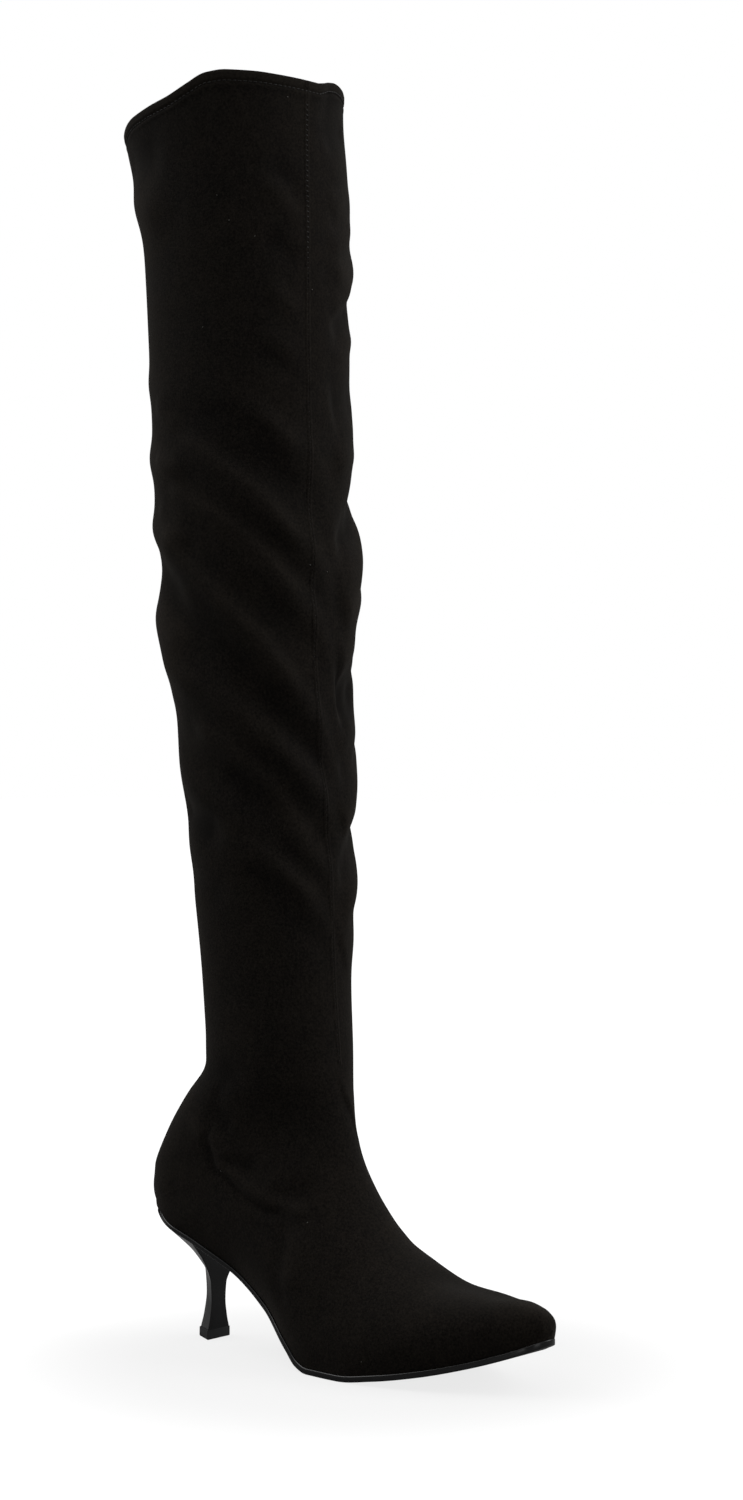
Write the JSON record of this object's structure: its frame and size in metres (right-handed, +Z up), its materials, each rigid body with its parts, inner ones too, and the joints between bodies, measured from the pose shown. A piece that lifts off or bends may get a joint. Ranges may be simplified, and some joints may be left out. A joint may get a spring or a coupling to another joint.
{
  "type": "over-the-knee heeled boot",
  "caption": "Over-the-knee stretch boot for a right foot: pointed toe, slim flared heel, thin arched sole, hollow leg open at the collar",
  "frame": {"origin": "middle of the heel tip's flat underside, on the floor", "axes": "+X runs from the heel to the toe, +Y to the inner side of the foot, +Z up"},
  "size_m": [0.2632, 0.1092, 0.649],
  "materials": {
    "microsuede": "black stretch microsuede with a short matt nap",
    "insole": "black lining leather, smooth and matt",
    "outsole": "black smooth sole with a polished edge",
    "heel_lacquer": "black high gloss lacquer",
    "heel_tip": "black, satin"
  },
  "bodies": {
    "root": {"upper": "microsuede", "insole": "insole", "outsole": "outsole", "heel": "heel_lacquer", "heel_tip": "heel_tip"}
  },
  "joints": []
}
